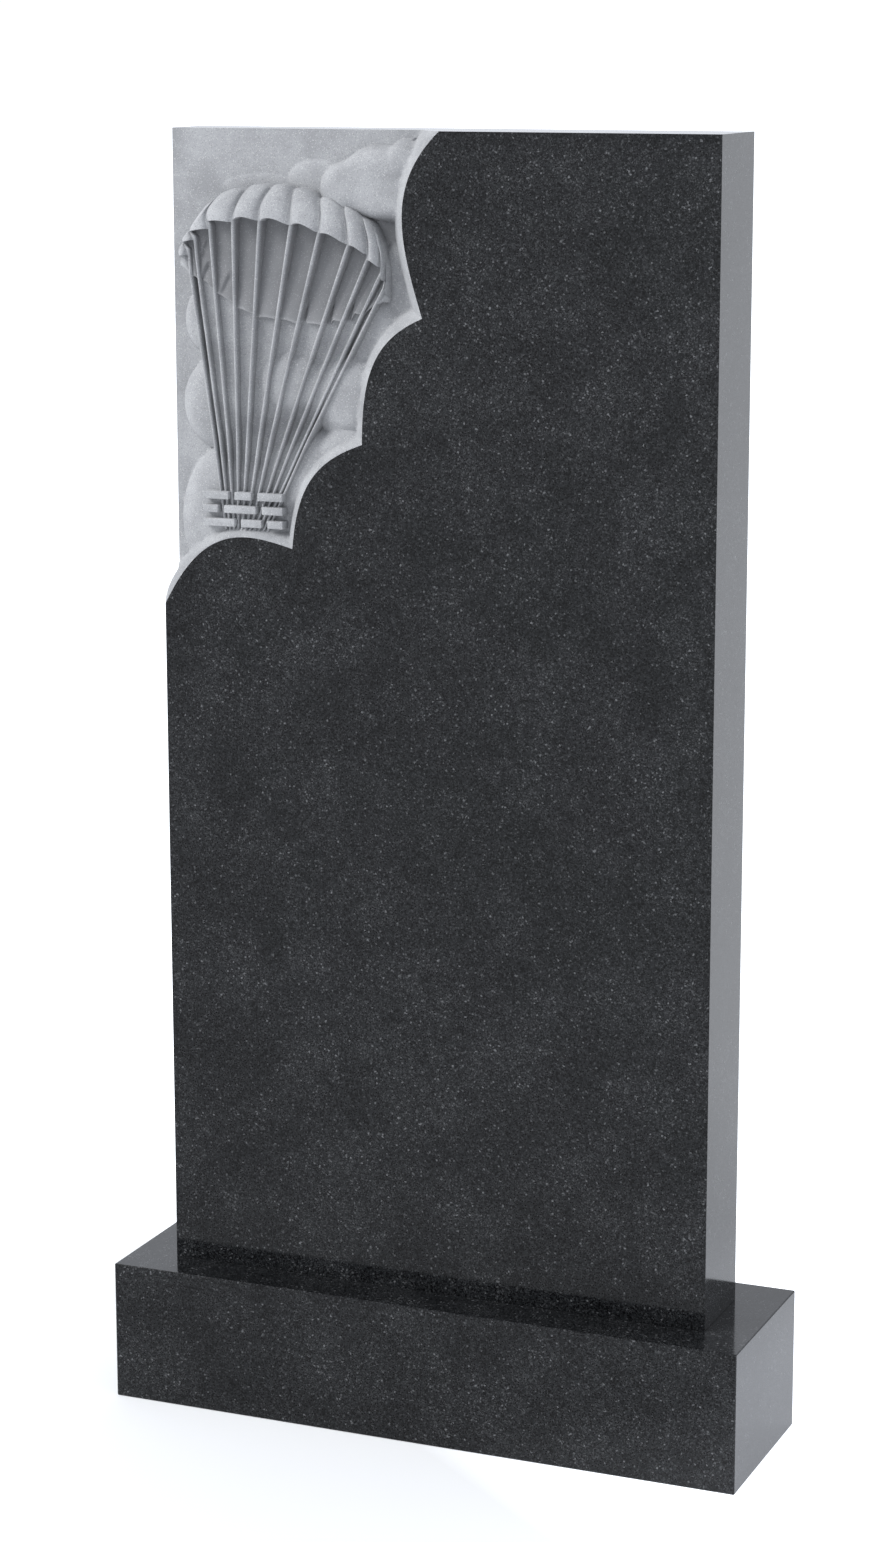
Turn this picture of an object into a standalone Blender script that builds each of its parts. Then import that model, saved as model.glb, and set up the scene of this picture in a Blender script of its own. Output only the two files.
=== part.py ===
# Polished gabbro headstone: an upright stele on a plinth, with one corner carved back in relief.
# Metres, +Z up. The origin is on the ground under the middle of the plinth; the front faces -Y.
import bpy
import bmesh
import numpy as np

# The two blocks
STELE_WIDTH = 0.600
STELE_THICKNESS = 0.100
STELE_HEIGHT = 1.200
PLINTH_WIDTH = 0.700
PLINTH_DEPTH = 0.200
PLINTH_HEIGHT = 0.150
BED_GAP = 0.0003  # the bed joint between the two blocks
ARRIS = 0.001  # the small flat ground along the plinth's edges

LEFT = -STELE_WIDTH / 2
RIGHT = STELE_WIDTH / 2
FRONT = -STELE_THICKNESS / 2
BACK = STELE_THICKNESS / 2
BASE = PLINTH_HEIGHT + BED_GAP
TOP = PLINTH_HEIGHT + STELE_HEIGHT

# The carved corner. Every depth is measured back from the polished front.
CARVING_DEPTH = 0.0336

# The scalloped edge is four lobes, from the top of the stone down to its left side. Each is one cubic
# curve, (x, z): start, two handles and end.
LOBES = [
    ((0.0088, TOP), (-0.0490, 1.2965), (-0.0339, 1.2419), (-0.0096, 1.1668)),
    ((-0.0096, 1.1668), (-0.0631, 1.1441), (-0.0754, 1.1075), (-0.0756, 1.0384)),
    ((-0.0756, 1.0384), (-0.1265, 1.0205), (-0.1482, 0.9947), (-0.1540, 0.9286)),
    ((-0.1540, 0.9286), (-0.2096, 0.9439), (-0.2546, 0.9502), (LEFT, 0.8637)),
]
LOBE_POINTS = 32
# How far each lobe's wall runs before it is at full depth, and how its slope steepens on the way
WALL_RUNS = [0.0225, 0.0215, 0.0180, 0.0172]
WALL_POWERS = [1.35, 1.35, 1.70, 1.90]

# The canopy's lines: where each leaves the hem, (x, z), and where it passes the middle level. Below
# that they run to feet at an even pitch.
LINE_TOPS = [
    (-0.2710, 1.2272), (-0.2655, 1.2394), (-0.2490, 1.2536), (-0.2219, 1.2566), (-0.1914, 1.2592),
    (-0.1563, 1.2562), (-0.1253, 1.2487), (-0.0937, 1.2376), (-0.0728, 1.2224), (-0.0579, 1.2094),
    (-0.0568, 1.1931),
]
LINE_MIDDLES = [
    -0.2453, -0.2387, -0.2296, -0.2188, -0.2074, -0.1942, -0.1813, -0.1662, -0.1553, -0.1442, -0.1397,
]
MIDDLE_LEVEL = 1.0384
FOOT_LEVEL = 0.944
FIRST_FOOT = -0.2329
FOOT_PITCH = 0.00471
LINE_DEPTH = 0.0075
LINE_WIDTH_TOP = 0.0034
LINE_WIDTH_FOOT = 0.0024
LINE_FLANK = 1.35  # a line's width at the ground over its width on top

# Where each seam between two gores reaches the canopy's crown, (x, z)
CROWN_POINTS = [
    (-0.2826, 1.2310), (-0.2745, 1.2450), (-0.2454, 1.2782), (-0.2092, 1.2897), (-0.1811, 1.2938),
    (-0.1565, 1.2902), (-0.1279, 1.2812), (-0.1042, 1.2762), (-0.0847, 1.2666), (-0.0634, 1.2536),
    (-0.0502, 1.2280),
]
# How far each seam swings out sideways half way up its gore
SEAM_SWINGS = [
    -0.0015, -0.0030, -0.0045, -0.0025, -0.0035, 0.0, 0.0030, 0.0020, 0.0055, 0.0038, 0.0022,
]
# The far hem's height where each line crosses it
FAR_HEM_LEVELS = [1.202, 1.196, 1.183, 1.171, 1.165, 1.161, 1.158, 1.156, 1.159, 1.166, 1.177]
HEM_ARCH = 0.0040
CROWN_ARCH = 0.0035
GORE_BULGE = 0.0045
CROWN_FLATTENING = 0.4  # how much of the bulge is gone at the crown
HEM_DEPTH = 0.005  # the near hem, at its middle
TIP_DEPTH = 0.015  # and at its two tips
HEM_SWEEP = 2.2  # how late the hem turns back towards the tips
CROWN_FALL = 0.010  # how much deeper the crown lies than the hem
INSIDE_HIGH = 0.022  # depth inside the canopy, close under the near hem
INSIDE_LOW = 0.016  # and at the far hem
INSIDE_CLOSING = 6  # how late the inside closes towards the tips
SEAM_WIDTH = 0.0016
STEP_WIDTH = 0.0006  # how far a hem's or the crown's upright edge leans out

# By guide row, counted from the lowest lobe up: how far each row arches up between two lines, the widths of
# the lines' columns at the rows that state one, and the rows between which the lines rise to the hem
ROW_ARCHES = [0.0, 0.0, 0.0, 0.0, HEM_ARCH, CROWN_ARCH, 0.0]
WIDTH_ROWS = [0, 1, 4, 5, 6]
ROW_WIDTHS = [LINE_WIDTH_FOOT, LINE_WIDTH_FOOT, LINE_WIDTH_TOP, SEAM_WIDTH, SEAM_WIDTH]
RISE_ROWS = [2, 4]

# The carved surface hangs on guide rows, one across the foot of the lines, one at their middle, one along
# each hem, one along the crown and one at the stone's top. Beside the lines each row states its height
# on the stone's side, the points just left and right of the lines (the canopy's tips, higher up), its
# height on the scalloped edge, and how far in and up from that edge the wall meets the ground.
ROW_ENDS = [
    (FOOT_LEVEL, (-0.2500, FOOT_LEVEL), (-0.1800, FOOT_LEVEL), FOOT_LEVEL, (0.0180, 0.0)),
    (MIDDLE_LEVEL, (-0.2580, MIDDLE_LEVEL), (-0.1280, 1.0430), MIDDLE_LEVEL, (0.0220, 0.0150)),
    (1.1950, (-0.2836, 1.2150), (-0.0495, 1.1800), LOBES[1][0][1], (0.0210, 0.0090)),
    (1.2080, (-0.2836, 1.2200), (-0.0490, 1.1850), 1.1800, (0.0210, 0.0060)),
    (1.2260, (-0.2862, 1.2250), (-0.0460, 1.2190), 1.2150, (0.0180, 0.0040)),
    (TOP, (-0.2880, TOP), (-0.0690, TOP), TOP, (0.0240, 0.0)),
]
TOP_COLUMNS = (-0.278, -0.088)  # the first and the last line's guide columns at the stone's top
BOTTOM_COLUMNS = (-0.181, -0.172)  # right of the lines on the lowest lobe, the last two before its end

RIGHT_FOLLOW = 0.25  # how much the right point follows the edge where it bows in between two rows
SWING_LATE = 3  # how late, going up to the far hem, the rows swing over to the canopy's right tip
TIP_STEP = 0.1  # the gap between the two columns at that tip, in guide columns
FOOT_LIMITS = (0.3, 0.9)  # where the wall's foot may lie on the way from the last line to the edge

# The guide columns: the stone's side, the left point, the lines, the right point, the wall's foot, the edge
LEFT_GUIDE = 1
FIRST_LINE = 2
MIDDLE_LINE = 7
LAST_LINE = 12
RIGHT_GUIDE = 13
WALL_FOOT = 14
EDGE_GUIDE = 15

# Clouds and the ground behind the lines: each is a flattened dome, (x, z, half width, half height, rise
# above the full depth).
DOMES = [
    (-0.165, 1.060, 0.112, 0.140, 0.0125),
    (-0.222, 0.952, 0.071, 0.084, 0.0220),
    (-0.240, 1.072, 0.049, 0.051, 0.0190),
    (-0.258, 1.157, 0.028, 0.036, 0.0150),
    (-0.150, 1.000, 0.058, 0.052, 0.0190),
    (-0.100, 1.022, 0.034, 0.029, 0.0200),
    (-0.168, 1.095, 0.052, 0.044, 0.0165),
    (-0.100, 1.085, 0.042, 0.044, 0.0145),
    (-0.112, 1.296, 0.025, 0.025, 0.0180),
    (-0.081, 1.307, 0.031, 0.029, 0.0205),
    (-0.051, 1.314, 0.027, 0.029, 0.0180),
    (-0.069, 1.284, 0.042, 0.025, 0.0190),
    (-0.134, 1.303, 0.033, 0.022, 0.0110),
    (-0.204, 1.293, 0.038, 0.018, 0.0060),
]
DOME_POWER = 4.0  # 2 is a plain half round, more is flatter on top

# Rows of raised strokes at the foot of the carving: each row's middle height, then its strokes from x to x
STROKE_ROWS = [
    (0.9795, [(-0.2560, -0.2270), (-0.2200, -0.2010), (-0.1940, -0.1660)]),
    (0.9655, [(-0.2560, -0.2390), (-0.2320, -0.1960), (-0.1890, -0.1660)]),
    (0.9515, [(-0.2560, -0.2200), (-0.2130, -0.1900), (-0.1830, -0.1660)]),
]
STROKE_HEIGHT = 0.0080
STROKE_TOP_DEPTH = 0.0020
STROKE_ROOT_DEPTH = 0.0240

# The bands between the guide rows, from the lowest lobe up, and how many steps each takes
BANDS = ["wall", "feet", "lines", "inside", "outside", "sky"]
BAND_STEPS = [4, 8, 10, 5, 7, 8]
BAND_EASES = [1.0, 1.5, 1.3, 1.0, 1.0, 1.0]  # above 1 the steps close up towards the top of the band
SIDE_STEPS = 7
GORE_STEPS = 3
GROUND_STEPS = 3
WALL_STEPS = 4


def material(name, color, roughness):
    made = bpy.data.materials.new(name)
    made.use_nodes = True
    shader = made.node_tree.nodes["Principled BSDF"]
    shader.inputs["Base Color"].default_value = (*color, 1.0)
    shader.inputs["Roughness"].default_value = roughness
    shader.inputs["Metallic"].default_value = 0.0
    return made


def cubic(points, t):
    """Points of a cubic curve at the parameters t."""
    a, b, c, d = np.array(points)
    t = t[:, None]
    return a * (1 - t) ** 3 + 3 * b * t * (1 - t) ** 2 + 3 * c * t * t * (1 - t) + d * t ** 3


def distance_to(path, x, z):
    """Shortest distance from each point (x, z) to a path of straight stretches."""
    nearest = np.full(x.shape, np.inf)
    for start, end in zip(path[:-1], path[1:]):
        run = end - start
        t = ((x - start[0]) * run[0] + (z - start[1]) * run[1]) / (run @ run)
        t = np.clip(t, 0.0, 1.0)
        away = np.hypot(x - start[0] - t * run[0], z - start[1] - t * run[1])
        nearest = np.minimum(nearest, away)
    return nearest


def lobe_paths():
    return [cubic(lobe, np.linspace(0.0, 1.0, LOBE_POINTS)) for lobe in LOBES]


def edge_x(level):
    """The scalloped edge's x at a height, along the three lobes that run down the right."""
    path = np.concatenate(lobe_paths()[:3])[::-1]
    return np.interp(level, path[:, 1], path[:, 0])


def edge_z(x):
    """The scalloped edge's height at an x, along the lowest lobe."""
    path = lobe_paths()[3][::-1]
    return np.interp(x, path[:, 0], path[:, 1])


def line_guides():
    """Where the lines' columns cross each guide row above the lowest lobe, as (x, z) arrays."""
    tops = np.array(LINE_TOPS)
    crown = np.array(CROWN_POINTS)
    middles = np.array(LINE_MIDDLES)
    feet = FIRST_FOOT + FOOT_PITCH * np.arange(len(tops))
    far_z = np.array(FAR_HEM_LEVELS)
    far_share = (far_z - MIDDLE_LEVEL) / (tops[:, 1] - MIDDLE_LEVEL)
    far_x = middles + (tops[:, 0] - middles) * far_share
    top_x = np.linspace(*TOP_COLUMNS, len(tops))
    return [
        (feet, np.full(len(tops), FOOT_LEVEL)),
        (middles, np.full(len(tops), MIDDLE_LEVEL)),
        (far_x, far_z),
        (tops[:, 0], tops[:, 1]),
        (crown[:, 0], crown[:, 1]),
        (top_x, np.full(len(tops), TOP)),
    ]


def guide_rows():
    """The guide rows, each (x, z) at its 16 guide columns. The first follows the lowest lobe."""
    rows = []
    for (line_x, line_z), (side, left, right, level, (inward, up)) in zip(line_guides(), ROW_ENDS):
        wall_foot = edge_x(level + up) - inward
        x = np.concatenate([[LEFT, left[0]], line_x, [right[0], wall_foot, edge_x(level)]])
        z = np.concatenate([[side, left[1]], line_z, [right[1], level + up, level]])
        rows.append((x, z))
    lowest = rows[0][0].copy()
    lowest[RIGHT_GUIDE:] = (*BOTTOM_COLUMNS, LOBES[3][0][0])
    return np.array([(lowest, edge_z(lowest))] + rows)


def column_places():
    """Each column's place along the guide columns, and its shift in half line widths."""
    places = [(s, 0.0) for s in np.linspace(0.0, LEFT_GUIDE, SIDE_STEPS)[:-1]]
    places += [(LEFT_GUIDE, -1.0), (LEFT_GUIDE, 0.0), ((LEFT_GUIDE + FIRST_LINE) / 2, 0.0)]
    for line in range(FIRST_LINE, LAST_LINE + 1):
        places += [(line, -LINE_FLANK), (line, -1.0), (line, 1.0), (line, LINE_FLANK)]
        if line < LAST_LINE:
            for share in np.arange(1, GORE_STEPS) / GORE_STEPS:
                places.append((line + share, LINE_FLANK * (1 - 2 * share)))
    places += [((LAST_LINE + RIGHT_GUIDE) / 2, 0.0), (RIGHT_GUIDE, 0.0), (RIGHT_GUIDE, 1.0)]
    places += [(RIGHT_GUIDE + s, 0.0) for s in np.arange(1, GROUND_STEPS) / GROUND_STEPS]
    places += [(s, 0.0) for s in np.linspace(WALL_FOOT, EDGE_GUIDE, WALL_STEPS + 1)]
    key, shift = np.array(places).T
    return key, shift


def row_places():
    """Each row's band and its share of the way up that band. Where the surface steps, two bands' rows
    meet at one guide row."""
    rows = []
    for band, (steps, ease) in enumerate(zip(BAND_STEPS, BAND_EASES)):
        shares = 1.0 - np.linspace(1.0, 0.0, steps + 1) ** ease
        meets_next = BANDS[band] in ("wall", "feet")
        rows += [(band, share) for share in (shares[:-1] if meets_next else shares)]
    return rows


def row_points(band, share, key, shift):
    """One row's x and z: the guide rows below and above it, mixed, each column shifted along the row by
    its share of the line's width there."""
    guides = guide_rows()[band:band + 2]
    along = np.gradient(guides, axis=2)
    along /= np.linalg.norm(along, axis=1, keepdims=True)
    keys = np.arange(EDGE_GUIDE + 1)
    low, high, low_along, high_along = [
        np.array([np.interp(key, keys, values) for values in guide]) for guide in (*guides, *along)
    ]
    low[1] += ROW_ARCHES[band] * gore_arch(key)
    high[1] += ROW_ARCHES[band + 1] * gore_arch(key)
    if BANDS[band] == "wall":
        low[1] = edge_z(low[0])

    leans = {("lines", 1.0): -STEP_WIDTH, ("inside", 1.0): -STEP_WIDTH, ("sky", 0.0): STEP_WIDTH}
    lean = leans.get((BANDS[band], share), 0.0) / np.linalg.norm(high - low, axis=0)
    offset = shift * np.interp(band + share, WIDTH_ROWS, ROW_WIDTHS) / 2
    x, z = low + (high - low) * (share + lean) + (low_along + (high_along - low_along) * share) * offset
    if BANDS[band] == "outside":
        swings = np.interp(key, keys[LEFT_GUIDE:WALL_FOOT], [0.0, *SEAM_SWINGS, 0.0])
        x = x + swings * np.sin(np.pi * share)
    if BANDS[band] == "wall":
        return x, edge_z(x) if share == 0.0 else z
    follow = np.interp(key, [LAST_LINE, RIGHT_GUIDE, WALL_FOOT], [0.0, RIGHT_FOLLOW, 1.0])
    x = x + (edge_x(z[-1]) - x[-1]) * follow
    if BANDS[band] in ("feet", "lines"):
        # Right of the last line the row runs straight to the edge. It swings over to the guide points only
        # close under the far hem.
        beyond = key > LAST_LINE
        flank = np.flatnonzero(~beyond)[-1]
        gap = x[-1] - x[flank]
        foot = np.clip(1.0 - WALL_RUNS[2] / gap, *FOOT_LIMITS)
        along_gap = np.interp(key + TIP_STEP * shift, [LAST_LINE, WALL_FOOT, EDGE_GUIDE], [0.0, foot, 1.0])
        swung = share ** SWING_LATE if BANDS[band] == "lines" else 0.0
        straight_x = x[flank] + gap * along_gap
        straight_z = z[flank] + (z[-1] - z[flank]) * along_gap
        x = np.where(beyond, straight_x + (x - straight_x) * swung, x)
        z = np.where(beyond, straight_z + (z - straight_z) * swung, z)
    return x, z


def gore_arch(key):
    """0 on the lines, up to 1 half way between two of them, less where they stand closer, 0 beyond the
    outer two."""
    spans = np.diff(np.array(LINE_TOPS)[:, 0])
    gore = np.clip(np.floor(key).astype(int) - FIRST_LINE, 0, len(spans) - 1)
    between = (key > FIRST_LINE) & (key < LAST_LINE)
    return np.sin(np.pi * (key - np.floor(key))) * between * spans[gore] / spans.max()


def ground_depth(x, z):
    """Depth of the ground with its clouds, or of the sloped wall where that is shallower. The wall's
    slope is the way in from each lobe over its run, raised to the lobe's power."""
    depth = np.full(x.shape, CARVING_DEPTH)
    for center_x, center_z, half_x, half_z, rise in DOMES:
        reach = np.hypot((x - center_x) / half_x, (z - center_z) / half_z)
        dome = rise * np.sqrt(np.clip(1.0 - reach ** DOME_POWER, 0.0, 1.0))
        depth = np.minimum(depth, CARVING_DEPTH - dome)
    for path, run, power in zip(lobe_paths(), WALL_RUNS, WALL_POWERS):
        share = np.clip(distance_to(path, x, z) / run, 0.0, 1.0)
        depth = np.minimum(depth, CARVING_DEPTH * share ** power)
    return depth


def row_depth(band, share, key, shift, x, z):
    """One row's depth: the ground, and on it the canopy's inside, its outside or the lines."""
    depth = ground_depth(x, z)
    name = BANDS[band]
    from_middle = np.abs(key - MIDDLE_LINE) / (RIGHT_GUIDE - MIDDLE_LINE)
    hem = HEM_DEPTH + (TIP_DEPTH - HEM_DEPTH) * from_middle ** HEM_SWEEP
    canopy = (from_middle <= 1.0) & ((from_middle < 1.0) | (shift == 0.0))
    if name == "inside":
        lining = INSIDE_LOW + (INSIDE_HIGH - INSIDE_LOW) * share
        closing = np.clip(1.0 - from_middle ** INSIDE_CLOSING, 0.0, 1.0)
        depth = np.where(canopy, hem + np.maximum(lining - hem, 0.0) * closing, depth)
    if name == "outside":
        bulge = GORE_BULGE * gore_arch(key) * (1.0 - CROWN_FLATTENING * share)
        depth = np.where(canopy, hem + CROWN_FALL * share ** 2 - bulge, depth)
    if name in ("feet", "lines", "inside"):
        line = (key >= FIRST_LINE) & (key <= LAST_LINE) & (np.abs(shift) <= 1.0) & (key % 1 == 0)
        rising = np.interp(band + share, RISE_ROWS, [0.0, 1.0])
        line_depth = LINE_DEPTH + (hem - LINE_DEPTH) * rising
        depth = np.where(line, np.minimum(depth, line_depth), depth)
    if (name, share) == ("wall", 0.0):
        depth = np.zeros(depth.shape)
    return np.where(key == EDGE_GUIDE, 0.0, depth)


def carved_grid():
    """The carved surface as arrays of x, y and z, one row of points for each step up the stone."""
    key, shift = column_places()
    rows = []
    for band, share in row_places():
        x, z = row_points(band, share, key, shift)
        rows.append((x, FRONT + row_depth(band, share, key, shift, x, z), z))
    return np.array(rows).transpose(1, 0, 2)


def stele():
    """The slab: the carved surface, and flat faces that run from its rim round the stone."""
    x, y, z = carved_grid()
    x[:, 0] = LEFT
    z[-1, :] = TOP
    rows, columns = x.shape
    points = [tuple(p) for p in np.stack([x, y, z], axis=-1).reshape(-1, 3)]
    corner = len(points)
    points += [(sx, sy, sz) for sz in (BASE, TOP) for sy in (FRONT, BACK) for sx in (LEFT, RIGHT)]
    low_front_left, low_front_right, low_back_left, low_back_right = range(corner, corner + 4)
    _, top_front_right, top_back_left, top_back_right = range(corner + 4, corner + 8)
    faces = []
    for r in range(rows - 1):
        for c in range(columns - 1):
            a = r * columns + c
            faces.append((a, a + 1, a + columns + 1, a + columns))
    foot = list(range(columns))
    rim = [r * columns + columns - 1 for r in range(1, rows)]
    side = [r * columns for r in range(rows)]
    head = [(rows - 1) * columns + c for c in range(columns)]
    faces.append([low_front_left, low_front_right, top_front_right] + rim[::-1] + foot[::-1])
    faces.append([low_back_left, low_front_left] + side + [top_back_left])
    faces.append(head + [top_front_right, top_back_right, top_back_left])
    faces.append([low_front_right, low_back_right, top_back_right, top_front_right])
    faces.append([low_back_right, low_back_left, top_back_left, top_back_right])
    faces.append([low_back_left, low_back_right, low_front_right, low_front_left])

    mesh = bpy.data.meshes.new("stele")
    mesh.from_pydata(points, [], faces)
    body = bmesh.new()
    body.from_mesh(mesh)
    loose = [v for v in body.verts if not v.link_faces]
    bmesh.ops.delete(body, geom=loose, context="VERTS")
    bmesh.ops.triangulate(body, faces=body.faces[:], quad_method="BEAUTY", ngon_method="BEAUTY")
    bmesh.ops.recalc_face_normals(body, faces=body.faces[:])
    body.to_mesh(mesh)
    body.free()
    slab = bpy.data.objects.new("stele", mesh)
    bpy.context.collection.objects.link(slab)
    slab.data.materials.append(material("polished_gabbro", (0.020, 0.021, 0.022), 0.10))
    return slab


def stroke_bars():
    """The raised strokes, one bar each, sunk well into the ground behind them."""
    bars = bmesh.new()
    for middle, strokes in STROKE_ROWS:
        for start, end in strokes:
            bar = bmesh.ops.create_cube(bars, size=1.0)["verts"]
            length, thickness = end - start, STROKE_ROOT_DEPTH - STROKE_TOP_DEPTH
            bmesh.ops.scale(bars, verts=bar, vec=(length, thickness, STROKE_HEIGHT))
            center = ((start + end) / 2, FRONT + (STROKE_TOP_DEPTH + STROKE_ROOT_DEPTH) / 2, middle)
            bmesh.ops.translate(bars, verts=bar, vec=center)
    mesh = bpy.data.meshes.new("stroke_bars")
    bars.to_mesh(mesh)
    bars.free()
    tool = bpy.data.objects.new("stroke_bars", mesh)
    bpy.context.collection.objects.link(tool)
    tool.hide_render = True
    tool.display_type = "WIRE"
    return tool


def plinth():
    """The low block, with a small arris along every edge."""
    mesh = bpy.data.meshes.new("plinth")
    body = bmesh.new()
    bmesh.ops.create_cube(body, size=1.0)
    bmesh.ops.scale(body, verts=body.verts[:], vec=(PLINTH_WIDTH, PLINTH_DEPTH, PLINTH_HEIGHT))
    bmesh.ops.translate(body, verts=body.verts[:], vec=(0.0, 0.0, PLINTH_HEIGHT / 2))
    body.to_mesh(mesh)
    body.free()
    block = bpy.data.objects.new("plinth", mesh)
    bpy.context.collection.objects.link(block)
    arris = block.modifiers.new("arris", "BEVEL")
    arris.width = ARRIS
    arris.segments = 1
    block.data.materials.append(material("polished_gabbro_block", (0.020, 0.021, 0.022), 0.10))
    return block


for old in list(bpy.data.objects):
    bpy.data.objects.remove(old)

headstone = stele()
strokes = headstone.modifiers.new("strokes", "BOOLEAN")
strokes.operation = "UNION"
strokes.solver = "EXACT"
strokes.object = stroke_bars()
plinth()
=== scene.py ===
import bpy
import numpy as np
from mathutils import Matrix, Vector


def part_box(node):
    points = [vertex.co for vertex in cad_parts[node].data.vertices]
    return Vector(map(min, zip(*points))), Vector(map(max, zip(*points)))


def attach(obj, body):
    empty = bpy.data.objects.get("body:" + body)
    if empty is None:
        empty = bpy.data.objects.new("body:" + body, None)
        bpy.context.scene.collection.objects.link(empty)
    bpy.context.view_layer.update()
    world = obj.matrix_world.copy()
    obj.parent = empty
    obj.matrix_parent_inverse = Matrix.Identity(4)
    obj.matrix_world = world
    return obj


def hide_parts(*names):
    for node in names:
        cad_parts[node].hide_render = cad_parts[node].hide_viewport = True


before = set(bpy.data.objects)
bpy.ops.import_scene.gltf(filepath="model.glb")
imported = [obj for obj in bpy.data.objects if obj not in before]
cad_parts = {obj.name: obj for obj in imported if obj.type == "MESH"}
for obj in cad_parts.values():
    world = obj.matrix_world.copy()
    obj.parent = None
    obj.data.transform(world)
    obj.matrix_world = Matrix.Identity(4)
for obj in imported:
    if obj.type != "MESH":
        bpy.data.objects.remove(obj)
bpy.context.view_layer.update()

# A polished gabbro headstone: an upright slab on a plinth, its upper left corner carved back in relief.
# Metres; the front faces -Y. Depths of the carving are measured back from the polished front.
slabLow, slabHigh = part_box("stele")
left, right = slabLow.x, slabHigh.x
front, back = slabLow.y, slabHigh.y
base, top = slabLow.z, slabHigh.z
mm = 0.001

# The scalloped edge of the carving, and the hollow wall that falls from it
edge = {
    "lobes": [  # four cubic curves from the slab's top down to its left side: start, two handles, end
        ((0.0088, top), (-0.0490, 1.2965), (-0.0339, 1.2419), (-0.0096, 1.1668)),
        ((-0.0096, 1.1668), (-0.0631, 1.1441), (-0.0754, 1.1075), (-0.0756, 1.0384)),
        ((-0.0756, 1.0384), (-0.1265, 1.0205), (-0.1482, 0.9947), (-0.1540, 0.9286)),
        ((-0.1540, 0.9286), (-0.2096, 0.9439), (-0.2546, 0.9502), (left, 0.8637)),
    ],
    "points": 60,  # on each curve
    "depth": 33.6 * mm,
    "wallRuns": [22.5 * mm, 21.5 * mm, 18.0 * mm, 17.2 * mm],  # how far in each wall is at full depth
    "wallPowers": [1.35, 1.35, 1.70, 1.90],  # how each wall steepens on its way in
    "sharpAngle": 50,  # degrees, above which a crease in the carving is drawn sharp
}

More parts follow.
